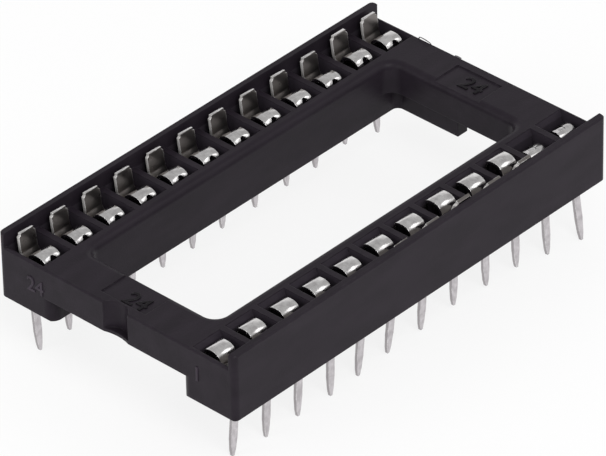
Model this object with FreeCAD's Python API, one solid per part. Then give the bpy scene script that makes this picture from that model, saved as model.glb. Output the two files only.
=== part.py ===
import FreeCAD, Part
import math
import os

# Open-frame socket for a dual in-line chip: a moulded frame of two rails joined by two
# crossbars, and one stamped sheet contact in each pocket of the rails.
# Millimetres. X runs along the rails, Y across them, Z up. The tips of the solder
# tails stand on Z = 0. The crossbar with the polarity notch is at the -X end.

# The grid that the chip and the circuit board share
ways_per_row = 12
pitch = 2.54
row_spacing = 15.24

# Outside of the frame
frame_length = ways_per_row * pitch
frame_width = row_spacing + pitch
wall_height = 4.4
ledge_height = 3.45
wall_thickness = 0.44
tail_length = 3.4
seat = tail_length

# Rails and crossbars
rail_width = 4.04
crossbar_width = 2.85
crossbar_depth = 2.0
outer_corner_radius = 0.35
window_corner_radius = 0.8
window_edge_radius = 0.45
edge_break = 0.1
rail_end_radius = 0.65

# Foot rib under each crossbar, from one rail to the middle
rib_setback = 0.53
rib_thickness = 0.8
rib_end = 0.2

# Pockets, one to a contact
pocket_length = 2.14
pocket_reach = 1.86
pocket_floor = 0.62
lead_in_width = 0.16
lead_in_depth = 0.4
tail_slot_clearance = 0.03

# Polarity notch and mark fields of the crossbars
notch_width = 1.86
notch_depth = 0.6
notch_lip = 0.2
notch_lip_depth = 0.15
field_width = 3.36
field_depth = 0.08
field_border = 0.64

# Sheet metal of the contacts
sheet = 0.2
leaf_width = 1.25
tab_width = 1.0
tail_width = 0.5
root_width = 0.62
shoulder_width = 0.9
root_rise = 0.15
foot_corner = 0.15

# Outer leaf: distances out from the line of the tails and up from the rails' underside.
# The tips of the -Y row lean on the wall, those of the +Y row stand clear of it.
clear_tip_out = 0.38
clear_tip_height = 4.24
leaning_tip_out = 0.72
leaning_tip_height = 4.13
shoulder_drop = 0.22
shoulder_rise = 0.08
bend_out = 0.22
bend_height = 3.02
bend_radius = 0.4
knee_in = 0.12
knee_height = 2.45
spine_height = 1.75

# Inner leaf: distances in from the line of the tails and up from the rails' underside
arch_far_side = 1.69
arch_near_side = 0.42
arch_radius = 0.55
arch_top = 3.42
arch_end_height = 1.5
eye_width = 0.5
eye_bottom = 1.4
eye_top = 3.32
eye_offset = 0.08

# Where the tip of each tail stands off its straight place, along X and away from
# the middle of the frame
tail_lean = {
    1: (-0.2, -0.1), 2: (-0.3, 0.1), 3: (-0.3, 0.1), 4: (-0.3, 0.2),
    5: (-0.5, 0.1), 6: (-0.5, 0.0), 7: (-0.3, 0.0), 8: (-0.1, 0.0),
    9: (0.1, 0.0), 10: (-0.1, 0.2), 11: (-0.2, 0.4), 12: (-0.4, 0.9),
    13: (-0.2, -0.4), 14: (0.1, 0.1), 15: (0.0, 0.0), 16: (0.1, 0.0),
    17: (-0.1, -0.1), 18: (-0.3, -0.1), 19: (-0.3, -0.2), 20: (-0.2, -0.2),
    21: (-0.1, -0.2), 22: (-0.1, -0.3), 23: (-0.3, -0.4), 24: (-0.2, -0.5),
}

# Contacts that stand higher than the others in their slots, and inner leaves whose arch
# is pressed outwards and down
raised_contacts = {6: 0.1, 7: 0.19, 8: 0.38, 9: 0.23, 10: 0.34, 13: 0.12, 14: 0.22}
pressed_leaves = {11: (0.42, 0.28), 12: (0.38, 0.2)}

half_length = frame_length / 2
half_width = frame_width / 2
rail_inner = half_width - rail_width
bar_inner = half_length - crossbar_width
wall_inner = half_width - wall_thickness
tail_line = row_spacing / 2
pocket_edge = tail_line - pocket_reach
ledge_z = seat + ledge_height
bar_bottom = ledge_z - crossbar_depth
top_z = seat + wall_height
floor_z = seat + pocket_floor

V = FreeCAD.Vector
os.makedirs("parts", exist_ok=True)


def block(x0, x1, y0, y1, z0, z1):
    return Part.makeBox(x1 - x0, y1 - y0, z1 - z0, V(x0, y0, z0))


def contact_number(row, place):
    """Numbers run along the -Y row and come back along the +Y row."""
    if row < 0:
        return place + 1
    return 2 * ways_per_row - place


def contact_places():
    for row in (-1, 1):
        for place in range(ways_per_row):
            x = (place - (ways_per_row - 1) / 2) * pitch
            yield contact_number(row, place), row, x


def turned_for(row, x, shape):
    """Carries a shape made for the +Y row, with its middle at X = 0, to its place."""
    placed = shape.copy()
    if row < 0:
        placed.rotate(V(0, 0, 0), V(0, 0, 1), 180)
    placed.translate(V(x, 0, 0))
    return placed


def rounded_plan(length, width, radius, z, height):
    """Upright block with four rounded corners, centred on the Z axis."""
    solid = block(-length / 2, length / 2, -width / 2, width / 2, z, z + height)
    corners = [e for e in solid.Edges if abs(e.tangentAt(e.FirstParameter).z) > 0.99]
    return solid.makeFillet(radius, corners)


# Moulded frame

def edges_at(solid, z, inside):
    """Level edges at height z whose middle passes the test."""
    found = []
    for e in solid.Edges:
        box = e.BoundBox
        level = abs(box.ZMin - z) < 1e-6 and abs(box.ZMax - z) < 1e-6
        if level and inside(box.Center):
            found.append(e)
    return found


def bare_frame():
    body = rounded_plan(frame_length, frame_width, outer_corner_radius, seat, wall_height)
    outside = edges_at(body, seat, lambda c: True) + edges_at(body, top_z, lambda c: True)
    body = body.makeChamfer(edge_break, outside)
    body = body.cut(rounded_plan(2 * bar_inner, 2 * rail_inner, window_corner_radius,
                                 seat - 1, wall_height + 2))
    body = body.cut(block(-half_length - 1, half_length + 1, -wall_inner, wall_inner,
                          ledge_z, top_z + 1))
    window = edges_at(body, ledge_z,
                      lambda c: abs(c.x) < bar_inner + 0.01 and abs(c.y) < rail_inner + 0.01)
    body = body.makeFillet(window_edge_radius, window)
    ends = edges_at(body, ledge_z, lambda c: abs(abs(c.x) - half_length) < 0.01)
    return body.makeChamfer(edge_break, ends)


def raise_crossbars(body):
    """The crossbars hang between the rails, clear of the board; the rails end in
    rounded corners below them."""
    reach = bar_inner - window_corner_radius - 0.01
    r = rail_end_radius
    height = bar_bottom - seat + 1
    cuts = []
    for side in (-1, 1):
        x0, x1 = sorted((side * reach, side * (half_length + 1)))
        cuts.append(block(x0, x1, -rail_inner, rail_inner, seat - 1, bar_bottom))
        for row in (-1, 1):
            cx = side * (half_length - r)
            cy = row * (rail_inner + r)
            x0, x1 = sorted((cx, side * (half_length + 1)))
            y0, y1 = sorted((cy, row * (rail_inner - 0.5)))
            corner = block(x0, x1, y0, y1, seat - 1, bar_bottom)
            cuts.append(corner.cut(Part.makeCylinder(r, height, V(cx, cy, seat - 1))))
    return body.cut(cuts)


def foot_ribs():
    """A low rib under each crossbar, joined to one rail and level with its underside."""
    front = bar_inner + rib_setback
    rib = block(front, front + rib_thickness, rib_end, rail_inner + 0.5,
                seat, bar_bottom + 0.2)
    turned = rib.copy()
    turned.rotate(V(0, 0, 0), V(0, 0, 1), 180)
    return [rib, turned]


def pocket():
    """Room for one contact: pocket, sloped lead-in on the window side, tail slot."""
    half = pocket_length / 2
    room = block(-half, half, pocket_edge, wall_inner, floor_z, top_z + 1)
    slope = Part.Face(Part.makePolygon([
        V(-half, pocket_edge - lead_in_width, ledge_z),
        V(-half, pocket_edge + 0.1, ledge_z),
        V(-half, pocket_edge + 0.1, ledge_z - lead_in_depth),
        V(-half, pocket_edge, ledge_z - lead_in_depth),
        V(-half, pocket_edge - lead_in_width, ledge_z),
    ])).extrude(V(pocket_length, 0, 0))
    grip = shoulder_width / 2
    gap = sheet / 2 + tail_slot_clearance
    slot = block(-grip, grip, tail_line - gap, tail_line + gap, seat - 1, floor_z + 0.1)
    return room.fuse([slope, slot])


def polarity_notch():
    """Half-round notch in the -X end, with a thin lip left at its foot."""
    cuts = []
    for depth, z0, z1 in ((notch_depth, bar_bottom + notch_lip, ledge_z + 1),
                          (notch_lip_depth, bar_bottom - 1, bar_bottom + notch_lip + 0.01)):
        half = notch_width / 2
        radius = (half ** 2 + depth ** 2) / (2 * depth)
        centre = -half_length - radius + depth
        cuts.append(Part.makeCylinder(radius, z1 - z0, V(centre, 0, z0)))
    return cuts


def mark_fields():
    """Shallow fields in the tops of the crossbars, open towards the window."""
    cuts = []
    for side in (-1, 1):
        x0, x1 = sorted((side * (bar_inner - 1), side * (half_length - field_border)))
        cuts.append(block(x0, x1, -field_width / 2, field_width / 2,
                          ledge_z - field_depth, ledge_z + 1))
    return cuts


def housing():
    body = raise_crossbars(bare_frame()).fuse(foot_ribs())
    pockets = [turned_for(row, x, pocket()) for _, row, x in contact_places()]
    body = body.cut(pockets)
    body = body.cut(polarity_notch() + mark_fields())
    return body.removeSplitter()


# Stamped contacts

def offset_line(points, radii, offset):
    """Edges of a bent line moved sideways by offset, its corners rounded to match."""
    moved = []
    for i in range(len(points)):
        sides = []
        if i > 0:
            sides.append((points[i] - points[i - 1]).normalize())
        if i < len(points) - 1:
            sides.append((points[i + 1] - points[i]).normalize())
        normals = [V(0, -d.z, d.y) for d in sides]
        if len(normals) == 1:
            moved.append(points[i] + normals[0] * offset)
            continue
        middle = normals[0] + normals[1]
        middle.normalize()
        moved.append(points[i] + middle * (offset / middle.dot(normals[0])))
    edges = []
    start = moved[0]
    for i in range(1, len(moved) - 1):
        before = (moved[i] - moved[i - 1]).normalize()
        after = (moved[i + 1] - moved[i]).normalize()
        turn = math.acos(max(-1.0, min(1.0, before.dot(after))))
        left = before.y * after.z - before.z * after.y > 0
        if radii[i] > 0:
            radius = radii[i] - offset if left else radii[i] + offset
        else:
            radius = 0.0
        reach = radius * math.tan(turn / 2)
        enter = moved[i] - before * reach
        leave = moved[i] + after * reach
        bend = (after - before).normalize()
        middle = moved[i] + bend * (radius / math.cos(turn / 2) - radius)
        if (enter - start).Length > 1e-5:
            edges.append(Part.LineSegment(start, enter).toShape())
        if radii[i] > 0:
            edges.append(Part.Arc(enter, middle, leave).toShape())
        start = leave
    edges.append(Part.LineSegment(start, moved[-1]).toShape())
    return edges, moved[0], moved[-1]


def bent_strip(bends, width):
    """Sheet strip bent along a line of (y, z, corner radius) points, centred on X = 0."""
    points = [V(-width / 2, y, z) for y, z, _ in bends]
    radii = [radius for _, _, radius in bends]
    near, near_start, near_end = offset_line(points, radii, -sheet / 2)
    far, far_start, far_end = offset_line(points, radii, sheet / 2)
    ends = [Part.LineSegment(near_start, far_start).toShape(),
            Part.LineSegment(near_end, far_end).toShape()]
    outline = Part.Wire(Part.__sortEdges__(near + far + ends))
    return Part.Face(outline).extrude(V(width, 0, 0))


def outer_leaf(row):
    """Tall leaf inside the outer wall, with a knee that bears on the chip's lead."""
    tip_out, tip_height = leaning_tip_out, leaning_tip_height
    if row > 0:
        tip_out, tip_height = clear_tip_out, clear_tip_height
    leaf = bent_strip([
        (tail_line + tip_out, seat + tip_height, 0),
        (tail_line + bend_out, seat + bend_height, bend_radius),
        (tail_line - knee_in, seat + knee_height, 0),
        (tail_line, seat + spine_height, 0),
        (tail_line, floor_z, 0),
    ], leaf_width)
    shoulder_z = seat + tip_height - shoulder_drop
    for side in (-1, 1):
        corner = Part.Face(Part.makePolygon([
            V(side * tab_width / 2, tail_line, shoulder_z + shoulder_rise),
            V(side * leaf_width / 2, tail_line, shoulder_z),
            V(side * leaf_width, tail_line, shoulder_z),
            V(side * leaf_width, tail_line, top_z + 1),
            V(side * tab_width / 2, tail_line, top_z + 1),
            V(side * tab_width / 2, tail_line, shoulder_z + shoulder_rise),
        ])).extrude(V(0, frame_width, 0))
        leaf = leaf.cut(corner)
    return leaf


def eye(y0, y1):
    """Cutter for the upright eye on the window side of the arch, its top rounded off."""
    half = eye_width / 2
    top = seat + eye_top
    right = [(half, top - 0.95 * half), (0.78 * half, top - 0.35 * half), (0.35 * half, top)]
    left = [(-x, z) for x, z in reversed(right)]
    corners = [(-half, seat + eye_bottom), (half, seat + eye_bottom)] + right + left
    outline = [V(eye_offset + x, y0, z) for x, z in corners]
    return Part.Face(Part.makePolygon(outline + outline[:1])).extrude(V(0, y1 - y0, 0))


def inner_leaf(push, drop):
    """Leaf that rises from the base on the window side and arches over to the knee."""
    low = tail_line - arch_far_side
    high = tail_line - arch_near_side
    radius = min(arch_radius, 0.47 * (high - low - push))
    crest = seat + arch_top - drop - sheet / 2
    base = floor_z + sheet / 2
    leaf = bent_strip([
        (tail_line, base, 0),
        (low + foot_corner, base, 0),
        (low, base + foot_corner, 0),
        (low + push, crest, radius),
        (high, crest, radius),
        (high, seat + arch_end_height, 0),
    ], leaf_width)
    return leaf.cut(eye(low - sheet, low + push + arch_radius))


def tail(lean_x, lean_y):
    """Flat solder tail with curved shoulders at its root and a narrow tip."""
    sections = [
        (-root_rise, root_width), (0.4, tail_width), (0.65 * tail_length, tail_width),
        (0.88 * tail_length, tail_width * 0.68), (tail_length, tail_width * 0.28),
    ]
    rings = []
    for drop, width in sections:
        share = max(0.0, drop) / tail_length
        x, y, z = lean_x * share, tail_line + lean_y * share, seat - drop
        rings.append([V(x + sx * width / 2, y + sy * sheet / 2, z)
                      for sx, sy in ((-1, -1), (1, -1), (1, 1), (-1, 1))])
    faces = [Part.Face(Part.makePolygon(rings[0] + rings[0][:1])),
             Part.Face(Part.makePolygon(rings[-1] + rings[-1][:1]))]
    for upper, lower in zip(rings, rings[1:]):
        for k in range(4):
            j = (k + 1) % 4
            faces.append(Part.Face(Part.makePolygon(
                [upper[k], upper[j], lower[j], lower[k], upper[k]])))
    solid = Part.Solid(Part.Shell(faces))
    if solid.Volume < 0:
        solid.reverse()
    return solid


def contact(number, row):
    half = shoulder_width / 2
    shank = block(-half, half, tail_line - sheet / 2, tail_line + sheet / 2,
                  seat + root_rise, floor_z)
    lean_x, lean_out = tail_lean.get(number, (0.0, 0.0))
    push, drop = pressed_leaves.get(number, (0.0, 0.0))
    piece = outer_leaf(row).fuse([inner_leaf(push, drop), shank,
                                  tail(lean_x * row, lean_out)])
    piece.translate(V(0, 0, raised_contacts.get(number, 0.0)))
    return piece.removeSplitter()


def export(name, shape):
    if not shape.isValid() or len(shape.Solids) != 1:
        raise ValueError(name + " is not one sound solid")
    shape.Solids[0].exportStep("parts/" + name + ".step")
    print(name, "volume", round(shape.Volume, 3))


export("housing", housing())
for number, row, x in contact_places():
    export("contact_%02d" % number, turned_for(row, x, contact(number, row)))
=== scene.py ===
import math

import bmesh
import bpy
from mathutils import Matrix, Vector


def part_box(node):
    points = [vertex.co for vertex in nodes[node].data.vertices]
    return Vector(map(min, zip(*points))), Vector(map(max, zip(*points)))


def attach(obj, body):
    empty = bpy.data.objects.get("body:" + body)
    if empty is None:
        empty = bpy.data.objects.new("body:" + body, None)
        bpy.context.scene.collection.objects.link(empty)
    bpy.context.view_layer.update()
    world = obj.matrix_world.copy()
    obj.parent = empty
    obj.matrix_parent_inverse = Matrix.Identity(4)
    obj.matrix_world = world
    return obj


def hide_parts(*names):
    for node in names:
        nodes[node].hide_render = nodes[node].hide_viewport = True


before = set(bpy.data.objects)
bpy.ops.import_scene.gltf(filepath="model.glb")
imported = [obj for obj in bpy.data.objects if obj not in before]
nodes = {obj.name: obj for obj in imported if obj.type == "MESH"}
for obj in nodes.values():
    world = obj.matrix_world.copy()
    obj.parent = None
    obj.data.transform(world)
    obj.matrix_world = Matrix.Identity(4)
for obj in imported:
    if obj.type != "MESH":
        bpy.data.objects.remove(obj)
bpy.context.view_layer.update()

mm = 0.001

# Moulded frame
# Two rails with twelve pockets each and two crossbars, injection moulded in one shot from
# black glass-filled polyester. The mould leaves a fine eroded grain, faint flow marks and
# soft edges, which handling has rubbed a little lighter.

frame_black = (0.0180, 0.0141, 0.0192)
# Painted light: the pocket walls get a paler colour than the frame, against the shade in the
# pockets.
pocket_painted_light = (0.034, 0.0285, 0.0365)
frame_rubbed = (0.042, 0.037, 0.044)
flow_dark = 0.86
flow_pale = 1.16
frame_roughness = (0.30, 0.40)
plastic_ior = 1.52
plastic_specular = 0.08
ledge_height = 3.45 * mm


def new_group(name, inputs, outputs):
    """A shader node group with its sockets, and its input and output nodes."""
    group = bpy.data.node_groups.new(name, "ShaderNodeTree")
    for label, kind, value in inputs:
        socket = group.interface.new_socket(name=label, in_out="INPUT", socket_type=kind)
        socket.default_value = value
    for label, kind in outputs:
        group.interface.new_socket(name=label, in_out="OUTPUT", socket_type=kind)
    taken = group.nodes.new("NodeGroupInput")
    given = group.nodes.new("NodeGroupOutput")
    return group, taken, given


def add_node(tree, kind, **settings):
    """A node of some kind in a tree, with its settings made."""
    node = tree.nodes.new(kind)
    for key, value in settings.items():
        setattr(node, key, value)
    return node


def millimetre_place(tree, stretch=(1.0, 1.0, 1.0)):
    """Place on the object, counted in millimetres, stretched along an axis if asked."""
    place = add_node(tree, "ShaderNodeTexCoord")
    scaled = add_node(tree, "ShaderNodeVectorMath", operation="MULTIPLY")
    scaled.inputs[1].default_value = [1000.0 * s for s in stretch]
    tree.links.new(place.outputs["Object"], scaled.inputs[0])
    return scaled.outputs["Vector"]


def noise(tree, place, per_mm, detail=3.0, roughness=0.55):
    """Noise factor with so many waves to the millimetre."""
    node = add_node(tree, "ShaderNodeTexNoise")
    node.inputs["Scale"].default_value = per_mm
    node.inputs["Detail"].default_value = detail
    node.inputs["Roughness"].default_value = roughness
    tree.links.new(place, node.inputs["Vector"])
    return node.outputs["Fac"]


def math_node(tree, operation, a, b, clamp=False):
    """Result of a sum on two values, each a number or a socket."""
    node = add_node(tree, "ShaderNodeMath", operation=operation, use_clamp=clamp)
    for socket, value in zip(node.inputs, (a, b)):
        if isinstance(value, (int, float)):
            socket.default_value = value
        else:
            tree.links.new(value, socket)
    return node.outputs[0]


def fitted(tree, value, low, high, to_low=0.0, to_high=1.0):
    """Maps a value from one range onto another and holds it there."""
    node = add_node(tree, "ShaderNodeMapRange")
    tree.links.new(value, node.inputs["Value"])
    for label, number in (("From Min", low), ("From Max", high),
                          ("To Min", to_low), ("To Max", to_high)):
        if isinstance(number, (int, float)):
            node.inputs[label].default_value = number
        else:
            tree.links.new(number, node.inputs[label])
    return node.outputs["Result"]


def mixed_colour(tree, factor, a, b):
    """Colour between a and b; each can be a colour or a socket."""
    node = add_node(tree, "ShaderNodeMix", data_type="RGBA")
    for label, value in (("Factor", factor), ("A", a), ("B", b)):
        sockets = [s for s in node.inputs if s.name == label and s.enabled]
        if isinstance(value, (int, float)):
            sockets[0].default_value = value
        elif isinstance(value, tuple):
            sockets[0].default_value = value + (1.0,)
        else:
            tree.links.new(value, sockets[0])
    return [s for s in node.outputs if s.enabled][0]


def edge_wear_group():
    """Mask of the rubbed edges, broken up by noise: 1 on a bare edge, 0 on the flats."""
    group, taken, given = new_group(
        "edge wear",
        [("Width", "NodeSocketFloat", 0.00008), ("Amount", "NodeSocketFloat", 0.6)],
        [("Mask", "NodeSocketFloat")])
    rounded = add_node(group, "ShaderNodeBevel", samples=4)
    group.links.new(taken.outputs["Width"], rounded.inputs["Radius"])
    flat = add_node(group, "ShaderNodeNewGeometry")
    along = add_node(group, "ShaderNodeVectorMath", operation="DOT_PRODUCT")
    group.links.new(rounded.outputs["Normal"], along.inputs[0])
    group.links.new(flat.outputs["Normal"], along.inputs[1])
    bent = fitted(group, along.outputs["Value"], 1.0, 0.86)
    patches = fitted(group, noise(group, millimetre_place(group), 1.7), 0.42, 0.62)
    rubbed = math_node(group, "MULTIPLY", bent, patches)
    rubbed = math_node(group, "MULTIPLY", rubbed, taken.outputs["Amount"], clamp=True)
    group.links.new(rubbed, given.inputs["Mask"])
    return group


def fine_relief_group():
    """Height of a fine even grain with wider, shallower swells under it."""
    group, taken, given = new_group(
        "fine relief",
        [("Grain Per mm", "NodeSocketFloat", 9.0), ("Swell Per mm", "NodeSocketFloat", 0.6),
         ("Swell", "NodeSocketFloat", 0.5)],
        [("Height", "NodeSocketFloat"), ("Swells", "NodeSocketFloat")])
    place = millimetre_place(group)
    grain = add_node(group, "ShaderNodeTexNoise")
    grain.inputs["Detail"].default_value = 4.0
    swell = add_node(group, "ShaderNodeTexNoise")
    swell.inputs["Detail"].default_value = 2.0
    for node, label in ((grain, "Grain Per mm"), (swell, "Swell Per mm")):
        group.links.new(place, node.inputs["Vector"])
        group.links.new(taken.outputs[label], node.inputs["Scale"])
    wide = math_node(group, "MULTIPLY", swell.outputs["Fac"], taken.outputs["Swell"])
    height = math_node(group, "ADD", grain.outputs["Fac"], wide)
    group.links.new(height, given.inputs["Height"])
    group.links.new(swell.outputs["Fac"], given.inputs["Swells"])
    return group


def placed_group(tree, group, **values):
    """A node group in a tree, with its inputs set; _ in a label stands for a space."""
    node = add_node(tree, "ShaderNodeGroup", node_tree=group)
    for label, value in values.items():
        node.inputs[label.replace("_", " ")].default_value = value
    return node


def new_material(name):
    material = bpy.data.materials.new(name)
    material.use_nodes = True
    tree = material.node_tree
    return material, tree, tree.nodes["Principled BSDF"]


def bump_into(tree, shader, height, strength, depth_mm, base_normal=None):
    """Bump of a depth in millimetres, joined to the shader's normal."""
    bump = add_node(tree, "ShaderNodeBump")
    bump.inputs["Strength"].default_value = strength
    bump.inputs["Distance"].default_value = depth_mm * mm
    tree.links.new(height, bump.inputs["Height"])
    if base_normal is not None:
        tree.links.new(base_normal, bump.inputs["Normal"])
    tree.links.new(bump.outputs["Normal"], shader.inputs["Normal"])


def pocket_walls_group():
    """1 on the walls of the pockets, which lie between two distances from the middle
    line, below the ledge and above the floor of the pockets; 0 elsewhere. There the frame gets
    painted light, paler than its black, against the shade in the pockets."""
    group, taken, given = new_group(
        "pocket walls",
        [("Y Low", "NodeSocketFloat", 5.6), ("Y High", "NodeSocketFloat", 8.5),
         ("Z Low", "NodeSocketFloat", 3.9), ("Z High", "NodeSocketFloat", 6.8),
         ("X Reach", "NodeSocketFloat", 15.1)],
        [("Mask", "NodeSocketFloat")])
    place = add_node(group, "ShaderNodeSeparateXYZ")
    group.links.new(millimetre_place(group), place.inputs["Vector"])
    along = math_node(group, "ABSOLUTE", place.outputs["X"], 0.0)
    aside = math_node(group, "ABSOLUTE", place.outputs["Y"], 0.0)
    mask = math_node(group, "LESS_THAN", along, taken.outputs["X Reach"])
    for value, low, high in ((aside, "Y Low", "Y High"), (place.outputs["Z"], "Z Low", "Z High")):
        over = math_node(group, "GREATER_THAN", value, taken.outputs[low])
        under = math_node(group, "LESS_THAN", value, taken.outputs[high])
        mask = math_node(group, "MULTIPLY", mask, math_node(group, "MULTIPLY", over, under))
    group.links.new(mask, given.inputs["Mask"])
    return group


def moulded_black(name, shade=1.0):
    """The black of the frame, darker or paler by the shade."""
    material, tree, shader = new_material(name)
    relief = placed_group(tree, fine_relief, Grain_Per_mm=11.0, Swell_Per_mm=0.45, Swell=0.8)
    wear = placed_group(tree, edge_wear, Width=0.09 * mm, Amount=0.6)
    flow = fitted(tree, noise(tree, millimetre_place(tree, (0.25, 1.0, 1.0)), 0.9), 0.35, 0.7)
    tone = mixed_colour(tree, flow, tuple(c * shade * flow_dark for c in frame_black),
                        tuple(c * shade * flow_pale for c in frame_black))
    tone = mixed_colour(tree, wear.outputs["Mask"], tone, frame_rubbed)
    # Painted light on the pocket walls, against the shade that falls in the pockets.
    walls = placed_group(tree, pocket_walls)
    tone = mixed_colour(tree, walls.outputs["Mask"], tone, pocket_painted_light)
    tree.links.new(tone, shader.inputs["Base Color"])
    rough = fitted(tree, relief.outputs["Swells"], 0.3, 0.7, *frame_roughness)
    tree.links.new(rough, shader.inputs["Roughness"])
    shader.inputs["IOR"].default_value = plastic_ior
    shader.inputs["Specular IOR Level"].default_value = plastic_specular
    soft_edge = add_node(tree, "ShaderNodeBevel", samples=4)
    soft_edge.inputs["Radius"].default_value = 0.06 * mm
    bump_into(tree, shader, relief.outputs["Height"], 0.35, 0.02, soft_edge.outputs["Normal"])
    return material


def dress(obj, material):
    obj.data.materials.clear()
    obj.data.materials.append(material)


edge_wear = edge_wear_group()
fine_relief = fine_relief_group()
pocket_walls = pocket_walls_group()
frame_finish = moulded_black("moulded black")
dress(nodes["housing"], frame_finish)

frame_low, frame_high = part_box("housing")
seat_z = frame_low[2]
ledge_z = seat_z + ledge_height

# Rib corners
# The corners where the foot ribs under the crossbars run into the rails are filled with a
# small radius, moulded in one with the frame, so that the plastic flows and nothing cracks.

corner_radius = 0.42 * mm
corner_sink = 0.02 * mm
corner_x = 12.92 * mm
corner_y = 4.85 * mm
corner_height = 1.45 * mm


def linked(name, mesh):
    """A new piece of the scene with this mesh."""
    piece = bpy.data.objects.new(name, mesh)
    bpy.context.scene.collection.objects.link(piece)
    return piece


def corner_fill(name, way):
    """Hollow fillet between a rib and its rail; way is 1 at the far end, -1 at the near."""
    steps = 8
    outline = [(corner_x + corner_sink, corner_y + corner_sink),
               (corner_x - corner_radius, corner_y + corner_sink)]
    for i in range(steps + 1):
        turn = math.pi / 2 * (1 - i / steps)
        outline.append((corner_x - corner_radius * (1 - math.cos(turn)),
                        corner_y - corner_radius * (1 - math.sin(turn))))
    outline.append((corner_x + corner_sink, corner_y - corner_radius))
    around = len(outline)
    points = []
    for z in (seat_z, seat_z + corner_height):
        points.extend((way * x, way * y, z) for x, y in outline)
    faces = [tuple(reversed(range(around))), tuple(range(around, 2 * around))]
    for k in range(around):
        j = (k + 1) % around
        faces.append((k, j, j + around, k + around))
    mesh = bpy.data.meshes.new(name)
    mesh.from_pydata(points, [], faces)
    mesh.update()
    fill = linked(name, mesh)
    dress(fill, frame_finish)
    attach(fill, "root")


corner_fill("far_rib_corner", 1)
corner_fill("near_rib_corner", -1)

# Raised marks
# Plain numbers moulded in one with the frame, from numbers engraved in the mould: the count
# of ways in the shallow field of each crossbar, darker as painted shade, and the number
# of the first and last contact on the ends of the rails, paler as painted highlight.

number_relief = 0.06 * mm
number_bevel = 0.012 * mm
digit_share = 0.70
field_drop = 0.08 * mm
crossbar_number_height = 1.12 * mm
crossbar_marks = {"near_crossbar_number": (-14.0 * mm, -0.5 * mm),
                  "far_crossbar_number": (13.55 * mm, -0.35 * mm)}
rail_number_height = 0.92 * mm
rail_mark_y = 6.1 * mm
rail_mark_z = 1.95 * mm
rail_mark_sink = 0.02 * mm
# Painted shade darkens the numbers on the crossbars; painted highlight lightens those on the rail
# ends.
number_painted_shade = 0.35
number_painted_highlight = 2.1


def raised_number(name, text, height, at, reading, upwards, finish):
    """Moulded number standing on a face: it reads along one direction, its tops point
    along the other."""
    curve = bpy.data.curves.new(name, "FONT")
    curve.body = text
    curve.align_x = "CENTER"
    curve.align_y = "CENTER"
    curve.size = height / digit_share
    curve.extrude = number_relief
    curve.bevel_depth = number_bevel
    curve.resolution_u = 6
    drawn = bpy.data.objects.new(name + "_outline", curve)
    mesh = bpy.data.meshes.new_from_object(drawn)
    bpy.data.objects.remove(drawn)
    mark = linked(name, mesh)
    right, up = Vector(reading), Vector(upwards)
    out = right.cross(up)
    turn = Matrix((right, up, out)).transposed().to_4x4()
    mesh.transform(Matrix.Translation(Vector(at)) @ turn)
    dress(mark, finish)
    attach(mark, "root")


# The crossbar numbers get painted shade, the rail end numbers painted highlight.
shaded_number_finish = moulded_black("numbers with painted shade", number_painted_shade)
highlit_number_finish = moulded_black("numbers with painted highlight", number_painted_highlight)
for name, (x, y) in crossbar_marks.items():
    raised_number(name, "24", crossbar_number_height, (x, y, ledge_z - field_drop),
                  (0, -1, 0), (1, 0, 0), shaded_number_finish)
for row, text in ((1, "24"), (-1, "1")):
    raised_number("rail_end_number_" + text, text, rail_number_height,
                  (frame_low[0] + rail_mark_sink, row * rail_mark_y, seat_z + rail_mark_z),
                  (0, -1, 0), (0, 0, 1), highlit_number_finish)

# Mould flash
# Plastic squeezed into the parting line along the outer top edge of the far crossbar and
# left on when the frame came out of the mould: a short low ridge, and a thin thread that has
# come loose in the middle and stands up as a small loop. Both are pale where they are thin.

flash_grey = (0.13, 0.12, 0.13)
ridge_height = 0.06 * mm
ridge_depth = 0.10 * mm
ridge_span = (1.95 * mm, 2.4 * mm)
thread_radius = 0.031 * mm
loop_height = 0.16 * mm
loop_fullness = 0.6
loop_skew = 0.25
loop_lean = 0.05 * mm
loop_inset = 0.07 * mm
loop_root = 0.02 * mm
loop_span = (4.25 * mm, 5.15 * mm)


def thin_flash():
    """Plain grey, as black plastic looks where it is so thin that light comes through."""
    material, tree, shader = new_material("thin flash")
    relief = placed_group(tree, fine_relief, Grain_Per_mm=14.0, Swell_Per_mm=2.0, Swell=1.0)
    tone = mixed_colour(tree, fitted(tree, relief.outputs["Swells"], 0.3, 0.7),
                        tuple(c * 0.7 for c in flash_grey), flash_grey)
    tree.links.new(tone, shader.inputs["Base Color"])
    shader.inputs["Roughness"].default_value = 0.4
    bump_into(tree, shader, relief.outputs["Height"], 0.3, 0.01)
    return material


def tube(name, rings):
    """Closed skin over rings of points, one ring after the other, with flat ends."""
    around = len(rings[0])
    points = [point for ring in rings for point in ring]
    faces = []
    for i in range(len(rings) - 1):
        for k in range(around):
            a, b = i * around + k, i * around + (k + 1) % around
            faces.append((a, b, b + around, a + around))
    faces.append(tuple(range(around)))
    faces.append(tuple(range(len(points) - around, len(points))))
    mesh = bpy.data.meshes.new(name)
    mesh.from_pydata(points, [], faces)
    mesh.update()
    piece = linked(name, mesh)
    dress(piece, flash_finish)
    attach(piece, "root")


def flash_ridge():
    """Low ridge along Y with a rounded top, sunk a little into the edge."""
    steps, around = 10, 8
    rings = []
    for i in range(steps + 1):
        share = i / steps
        swell = math.sin(math.pi * min(max(share, 0.04), 0.96)) ** 0.4
        y = ridge_span[0] + (ridge_span[1] - ridge_span[0]) * share
        ring = []
        for k in range(around):
            turn = 2 * math.pi * k / around
            x = frame_high[0] - ridge_depth * (0.55 - 0.5 * math.cos(turn))
            ring.append((x, y, ledge_z + ridge_height * swell * math.sin(turn)))
        rings.append(ring)
    tube("flash_ridge", rings)


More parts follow.
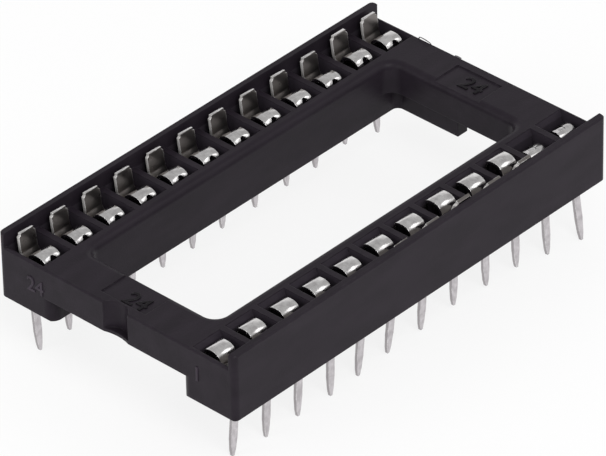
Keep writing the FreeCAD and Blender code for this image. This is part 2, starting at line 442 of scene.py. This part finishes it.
def flash_loop():
    """Thread that leaves the edge at one end, arches over and comes back to the edge."""
    steps, around = 20, 8
    middle = (loop_span[0] + loop_span[1]) / 2
    half = (loop_span[1] - loop_span[0]) / 2
    rings = []
    for i in range(steps + 1):
        turn = math.pi * i / steps
        along, rise = math.cos(turn), math.sin(turn) ** loop_fullness
        out = Vector((0.0, along, math.sin(turn)))
        height = loop_height * rise * (1.0 + loop_skew * along)
        heart = Vector((frame_high[0] - loop_inset - loop_lean * rise, middle + half * along,
                        ledge_z - loop_root + height))
        ring = []
        for k in range(around):
            spin = 2 * math.pi * k / around
            side = Vector((math.sin(spin), 0.0, 0.0)) + out * math.cos(spin)
            ring.append(heart + thread_radius * side)
        rings.append(ring)
    tube("flash_loop", rings)


flash_finish = thin_flash()
flash_ridge()
flash_loop()

# Contacts
# One to a pocket, stamped and folded from hard brass sheet 0.2 mm thick, then tin plated:
# satin with faint rolling lines, with painted shade on the flats of the outer leaves, paler and
# rougher on their sheared edges, and in a tone of its own on the tails, which stand in slots of
# the pocket floors. The narrow sides of the tails are painted shade, and the rubbed edges are
# painted bright, for wear and as a painted highlight.

tin = (0.70, 0.69, 0.685)
tin_dull = (0.54, 0.525, 0.525)
# Painted shade: the flats of the outer leaves, and the tops of the leaves in the row on the minus
# Y side, are darkened for the shade in the pockets.
tin_shaded = (0.195, 0.18, 0.172)
tin_sheared = (0.50, 0.485, 0.475)
# The tails' own tone, a little darker than the tin above.
tin_on_tails = (0.61, 0.58, 0.60)
tin_streaked = (0.47, 0.445, 0.46)
# Painted shade on the narrow sides of the tails.
tin_side_painted_shade = (0.36, 0.34, 0.35)
# Wear and painted highlight: the rubbed edges of the contacts are painted bright.
tin_bared_and_glint = (0.86, 0.855, 0.85)
tin_roughness = (0.12, 0.20)
torn_roughness = 0.35
torn_metallic = 0.45
leaf_dulling = 0.15
contact_count = 24
rolled_edge = 0.05 * mm
pressed_rolling = 0.4
crisp_angle = math.radians(35)

arch_low = 5.93 * mm
arch_high = 7.2 * mm
arch_radius = 0.55 * mm
arch_radius_share = 0.47
half_sheet = 0.1 * mm
crest_height = 3.32 * mm
crest_end = math.radians(26)
eye_top = 3.22 * mm
eye_offset = 0.08 * mm
eye_cover = 0.27 * mm
cover_share = 0.95
pressed_arches = {11: (0.42 * mm, 0.28 * mm), 12: (0.38 * mm, 0.20 * mm)}


def contact_faces_group():
    """Masks of the sheared edges and of the flats of the outer leaves, which get painted shade,
    and of the tails and their narrow sides, where the sides get painted shade."""
    group, taken, given = new_group(
        "contact faces",
        [("Leaves From Y", "NodeSocketFloat", 7.5), ("Leaves From Z", "NodeSocketFloat", 5.2),
         ("Tails To Z", "NodeSocketFloat", 3.5)],
        [("Sheared", "NodeSocketFloat"), ("Outer Leaf", "NodeSocketFloat"),
         ("Tail", "NodeSocketFloat"), ("Tail Side", "NodeSocketFloat")])
    surface = add_node(group, "ShaderNodeNewGeometry")
    facing = add_node(group, "ShaderNodeSeparateXYZ")
    group.links.new(surface.outputs["Normal"], facing.inputs["Vector"])
    place = add_node(group, "ShaderNodeSeparateXYZ")
    group.links.new(millimetre_place(group), place.inputs["Vector"])
    aside = math_node(group, "ABSOLUTE", place.outputs["Y"], 0.0)
    beyond = math_node(group, "GREATER_THAN", aside, taken.outputs["Leaves From Y"])
    above = math_node(group, "GREATER_THAN", place.outputs["Z"], taken.outputs["Leaves From Z"])
    below = math_node(group, "LESS_THAN", place.outputs["Z"], taken.outputs["Tails To Z"])
    leaf = math_node(group, "MULTIPLY", beyond, above)
    sideways = math_node(group, "ABSOLUTE", facing.outputs["X"], 0.0)
    narrow = fitted(group, sideways, 0.25, 0.65)
    group.links.new(below, given.inputs["Tail"])
    group.links.new(math_node(group, "MULTIPLY", below, narrow), given.inputs["Tail Side"])
    sheared = math_node(group, "MULTIPLY", leaf, narrow)
    group.links.new(sheared, given.inputs["Sheared"])
    # Painted shade goes on the flats of the outer leaves, and in the row on the minus Y side on
    # the tops of the leaves as well.
    upright = fitted(group, facing.outputs["Z"], 0.8, 0.5)
    leaning = math_node(group, "LESS_THAN", place.outputs["Y"], 0.0)
    leaf_painted_shade = math_node(group, "MAXIMUM", upright, leaning)
    group.links.new(math_node(group, "MULTIPLY", leaf, leaf_painted_shade), given.inputs["Outer Leaf"])
    return group


def tin_plating():
    """Satin tin: rolling lines and mottle, then the tones of the tails, painted shade on the
    outer leaves and the sides of the tails, and worn edges with a painted highlight.
    """
    material, tree, shader = new_material("tin plating")
    relief = placed_group(tree, fine_relief, Grain_Per_mm=16.0, Swell_Per_mm=1.8, Swell=2.2)
    wear = placed_group(tree, edge_wear, Width=0.08 * mm, Amount=0.9)
    lines = noise(tree, millimetre_place(tree, (6.0, 0.5, 0.5)), 1.6, 4.0)
    patches = noise(tree, millimetre_place(tree), 2.6, 2.0)
    mottle = math_node(tree, "MULTIPLY_ADD", lines, 0.3)
    tree.links.new(patches, mottle.node.inputs[2])
    streaks = fitted(tree, mottle, 0.50, 0.82)
    tone = mixed_colour(tree, streaks, tin_dull, tin)
    faces = placed_group(tree, contact_faces)
    tail_tone = mixed_colour(tree, streaks, tin_streaked, tin_on_tails)
    tone = mixed_colour(tree, faces.outputs["Tail"], tone, tail_tone)
    # The narrow sides of the tails get painted shade.
    tone = mixed_colour(tree, faces.outputs["Tail Side"], tone, tin_side_painted_shade)
    # Painted shade on the outer leaves.
    tone = mixed_colour(tree, faces.outputs["Outer Leaf"], tone, tin_shaded)
    tone = mixed_colour(tree, faces.outputs["Sheared"], tone, tin_sheared)
    # The worn edges are painted bright, wear and a painted highlight in one.
    tone = mixed_colour(tree, wear.outputs["Mask"], tone, tin_bared_and_glint)
    tree.links.new(tone, shader.inputs["Base Color"])
    rough = fitted(tree, relief.outputs["Swells"], 0.3, 0.7, *tin_roughness)
    torn = math_node(tree, "MULTIPLY", faces.outputs["Sheared"], torn_roughness)
    rough = math_node(tree, "ADD", rough, torn)
    dulled = math_node(tree, "MULTIPLY", faces.outputs["Outer Leaf"], leaf_dulling)
    rough = math_node(tree, "ADD", rough, dulled)
    tree.links.new(rough, shader.inputs["Roughness"])
    bright = fitted(tree, faces.outputs["Sheared"], 0.0, 1.0, 1.0, torn_metallic)
    tree.links.new(bright, shader.inputs["Metallic"])
    soft_edge = add_node(tree, "ShaderNodeBevel", samples=4)
    soft_edge.inputs["Radius"].default_value = 0.03 * mm
    bump_into(tree, shader, relief.outputs["Height"], 0.25, 0.012,
              soft_edge.outputs["Normal"])
    return material


def smooth_bends():
    """Geometry nodes that shade the bends smoothly and keep the folds crisp."""
    group = bpy.data.node_groups.new("smooth bends", "GeometryNodeTree")
    group.interface.new_socket(name="Geometry", in_out="INPUT",
                               socket_type="NodeSocketGeometry")
    group.interface.new_socket(name="Geometry", in_out="OUTPUT",
                               socket_type="NodeSocketGeometry")
    taken = group.nodes.new("NodeGroupInput")
    given = group.nodes.new("NodeGroupOutput")
    faces = add_node(group, "GeometryNodeSetShadeSmooth", domain="FACE")
    edges = add_node(group, "GeometryNodeSetShadeSmooth", domain="EDGE")
    edges.inputs["Shade Smooth"].default_value = False
    angle = add_node(group, "GeometryNodeInputMeshEdgeAngle")
    sharp = math_node(group, "GREATER_THAN", angle.outputs["Unsigned Angle"], crisp_angle)
    group.links.new(taken.outputs["Geometry"], faces.inputs["Geometry"])
    group.links.new(faces.outputs["Geometry"], edges.inputs["Geometry"])
    group.links.new(sharp, edges.inputs["Selection"])
    group.links.new(edges.outputs["Geometry"], given.inputs["Geometry"])
    return group


def close_crest(mesh, middle, push, drop):
    """Adds the sheet over the crest of a pressed arch, above the top of its eye."""
    low, high = arch_low + push, arch_high
    radius = min(arch_radius, arch_radius_share * (high - low))
    centre_y, centre_z = low + radius, crest_height - drop - radius
    start = -math.acos(1.0 - (crest_height - eye_top) / radius)
    steps = 10
    bm = bmesh.new()
    bm.from_mesh(mesh)
    rings = []
    for i in range(steps + 1):
        turn = start + (crest_end - start) * i / steps
        ring = []
        for side, reach in ((-1, -1), (1, -1), (1, 1), (-1, 1)):
            out = radius + reach * cover_share * half_sheet
            ring.append(bm.verts.new((middle - eye_offset + side * eye_cover,
                                      -(centre_y + out * math.sin(turn)),
                                      seat_z + centre_z + out * math.cos(turn))))
        rings.append(ring)
    for one, two in zip(rings, rings[1:]):
        for k in range(4):
            j = (k + 1) % 4
            bm.faces.new((one[k], one[j], two[j], two[k]))
    bm.faces.new(rings[0][::-1])
    bm.faces.new(rings[-1])
    bmesh.ops.recalc_face_normals(bm, faces=bm.faces)
    bm.to_mesh(mesh)
    bm.free()


def pressed_contact(number, push, drop):
    """Stands for a contact whose arch is pressed: its eye stays below the crest."""
    node = "contact_%02d" % number
    low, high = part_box(node)
    mesh = nodes[node].data.copy()
    close_crest(mesh, (low[0] + high[0]) / 2, push, drop)
    piece = linked(node + "_pressed", mesh)
    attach(piece, "root")
    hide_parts(node)
    return piece


contact_faces = contact_faces_group()
contact_finish = tin_plating()
bend_shading = smooth_bends()
for number in range(1, contact_count + 1):
    piece = nodes["contact_%02d" % number]
    if number in pressed_arches:
        piece = pressed_contact(number, *pressed_arches[number])
    dress(piece, contact_finish)
    joined = piece.modifiers.new("joined faces", "WELD")
    joined.merge_threshold = 0.001 * mm
    rounded = piece.modifiers.new("rolled edges", "BEVEL")
    rounded.width = rolled_edge * (pressed_rolling if number in pressed_arches else 1.0)
    rounded.segments = 2
    rounded.limit_method = "ANGLE"
    rounded.angle_limit = crisp_angle
    smoothed = piece.modifiers.new("smooth bends", "NODES")
    smoothed.node_group = bend_shading
    weighted = piece.modifiers.new("flat sides", "WEIGHTED_NORMAL")
    weighted.keep_sharp = True

# Floor
# A plain white table top that the tips of the tails stand on. To the camera and in
# reflections it is white, with a part of the shadow left.

floor_white = (0.92, 0.92, 0.92)
floor_mottle = 0.99
floor_size = 0.6
shadow_kept = 0.20


def floor_top():
    """The table top, which is only stage."""
    bpy.ops.mesh.primitive_plane_add(size=floor_size, location=(0, 0, 0))
    floor = bpy.context.object
    floor.name = "floor"
    material = bpy.data.materials.new("white table top")
    material.use_nodes = True
    tree = material.node_tree
    shader = tree.nodes["Principled BSDF"]
    out = tree.nodes["Material Output"]
    mottle = noise(tree, millimetre_place(tree), 0.05)
    tone = mixed_colour(tree, mottle, tuple(c * floor_mottle for c in floor_white),
                        floor_white)
    tree.links.new(tone, shader.inputs["Base Color"])
    shader.inputs["Roughness"].default_value = 0.9
    shader.inputs["Specular IOR Level"].default_value = 0.1
    white = add_node(tree, "ShaderNodeEmission")
    white.inputs["Strength"].default_value = 1.0
    seen = add_node(tree, "ShaderNodeLightPath")
    shown = math_node(tree, "MAXIMUM", seen.outputs["Is Camera Ray"],
                      seen.outputs["Is Glossy Ray"])
    shown = math_node(tree, "MAXIMUM", shown, seen.outputs["Is Transmission Ray"])
    share = math_node(tree, "MULTIPLY", shown, 1.0 - shadow_kept)
    blend = add_node(tree, "ShaderNodeMixShader")
    tree.links.new(share, blend.inputs["Fac"])
    tree.links.new(shader.outputs["BSDF"], blend.inputs[1])
    tree.links.new(white.outputs["Emission"], blend.inputs[2])
    tree.links.new(blend.outputs["Shader"], out.inputs["Surface"])
    dress(floor, material)


floor_top()

# Light
# An even pale room with a white backdrop low all around, a large soft lamp high at the
# right of the camera, a weaker one at the left, and a small one far over the right end,
# which gives the folded arches their streak of light.

room_level = 0.58
backdrop_top = 0.44
backdrop_blend = 0.06
lamp_aim = (0, 0, 0)
lamps = (("high lamp", (-0.12, -0.30, 0.34), 0.26, 1.0),
         ("left lamp", (-0.34, 0.10, 0.20), 0.20, 0.3),
         ("right lamp", (0.168, -0.141, 0.204), 0.11, 0.06))


def room():
    """Grey room, white from below up to the top of the backdrop."""
    world = bpy.data.worlds.new("pale room")
    bpy.context.scene.world = world
    world.use_nodes = True
    tree = world.node_tree
    tree.nodes.clear()
    out = add_node(tree, "ShaderNodeOutputWorld")
    direction = add_node(tree, "ShaderNodeTexCoord")
    split = add_node(tree, "ShaderNodeSeparateXYZ")
    tree.links.new(direction.outputs["Generated"], split.inputs["Vector"])
    level = fitted(tree, split.outputs["Z"], backdrop_top - backdrop_blend,
                   backdrop_top + backdrop_blend, 1.0, room_level)
    walls = add_node(tree, "ShaderNodeBackground")
    tree.links.new(level, walls.inputs["Color"])
    tree.links.new(walls.outputs["Background"], out.inputs["Surface"])


def soft_lamp(name, at, aim, size, watts):
    """Square lamp at a place, turned to its aim."""
    data = bpy.data.lights.new(name, "AREA")
    data.shape = "SQUARE"
    data.size = size
    data.energy = watts
    lamp = bpy.data.objects.new(name, data)
    lamp.location = at
    lamp.rotation_euler = (Vector(aim) - Vector(at)).to_track_quat("-Z", "Y").to_euler()
    bpy.context.scene.collection.objects.link(lamp)


room()
for name, at, size, watts in lamps:
    soft_lamp(name, at, lamp_aim, size, watts)

# Camera
# A long lens above the end with the notch, at the angle of the picture, aimed at the
# middle of the socket and turned a little on its side.

view_turn = math.radians(-46.535)
view_height = math.radians(35.378)
view_roll = math.radians(-1.249)
view_distance = 368.64 * mm
view_target = Vector((-0.399 * mm, -0.109 * mm, seat_z + 0.882 * mm))
focal_pixels = 6621.5
picture_pixels = 606


def photo_camera():
    """The camera, built from its turn, height, roll and distance."""
    data = bpy.data.cameras.new("camera")
    data.sensor_width = 36.0
    data.lens = focal_pixels / picture_pixels * data.sensor_width
    data.clip_start = 0.01
    camera = bpy.data.objects.new("camera", data)
    back = Vector((math.sin(view_turn) * math.cos(view_height),
                   -math.cos(view_turn) * math.cos(view_height), math.sin(view_height)))
    level = Vector((math.cos(view_turn), math.sin(view_turn), 0.0))
    upright = back.cross(level)
    right = level * math.cos(view_roll) + upright * math.sin(view_roll)
    up = upright * math.cos(view_roll) - level * math.sin(view_roll)
    turn = Matrix((right, up, back)).transposed().to_4x4()
    camera.matrix_world = Matrix.Translation(view_target + back * view_distance) @ turn
    bpy.context.scene.collection.objects.link(camera)
    bpy.context.scene.camera = camera


photo_camera()
bpy.context.scene.view_settings.view_transform = "Standard"
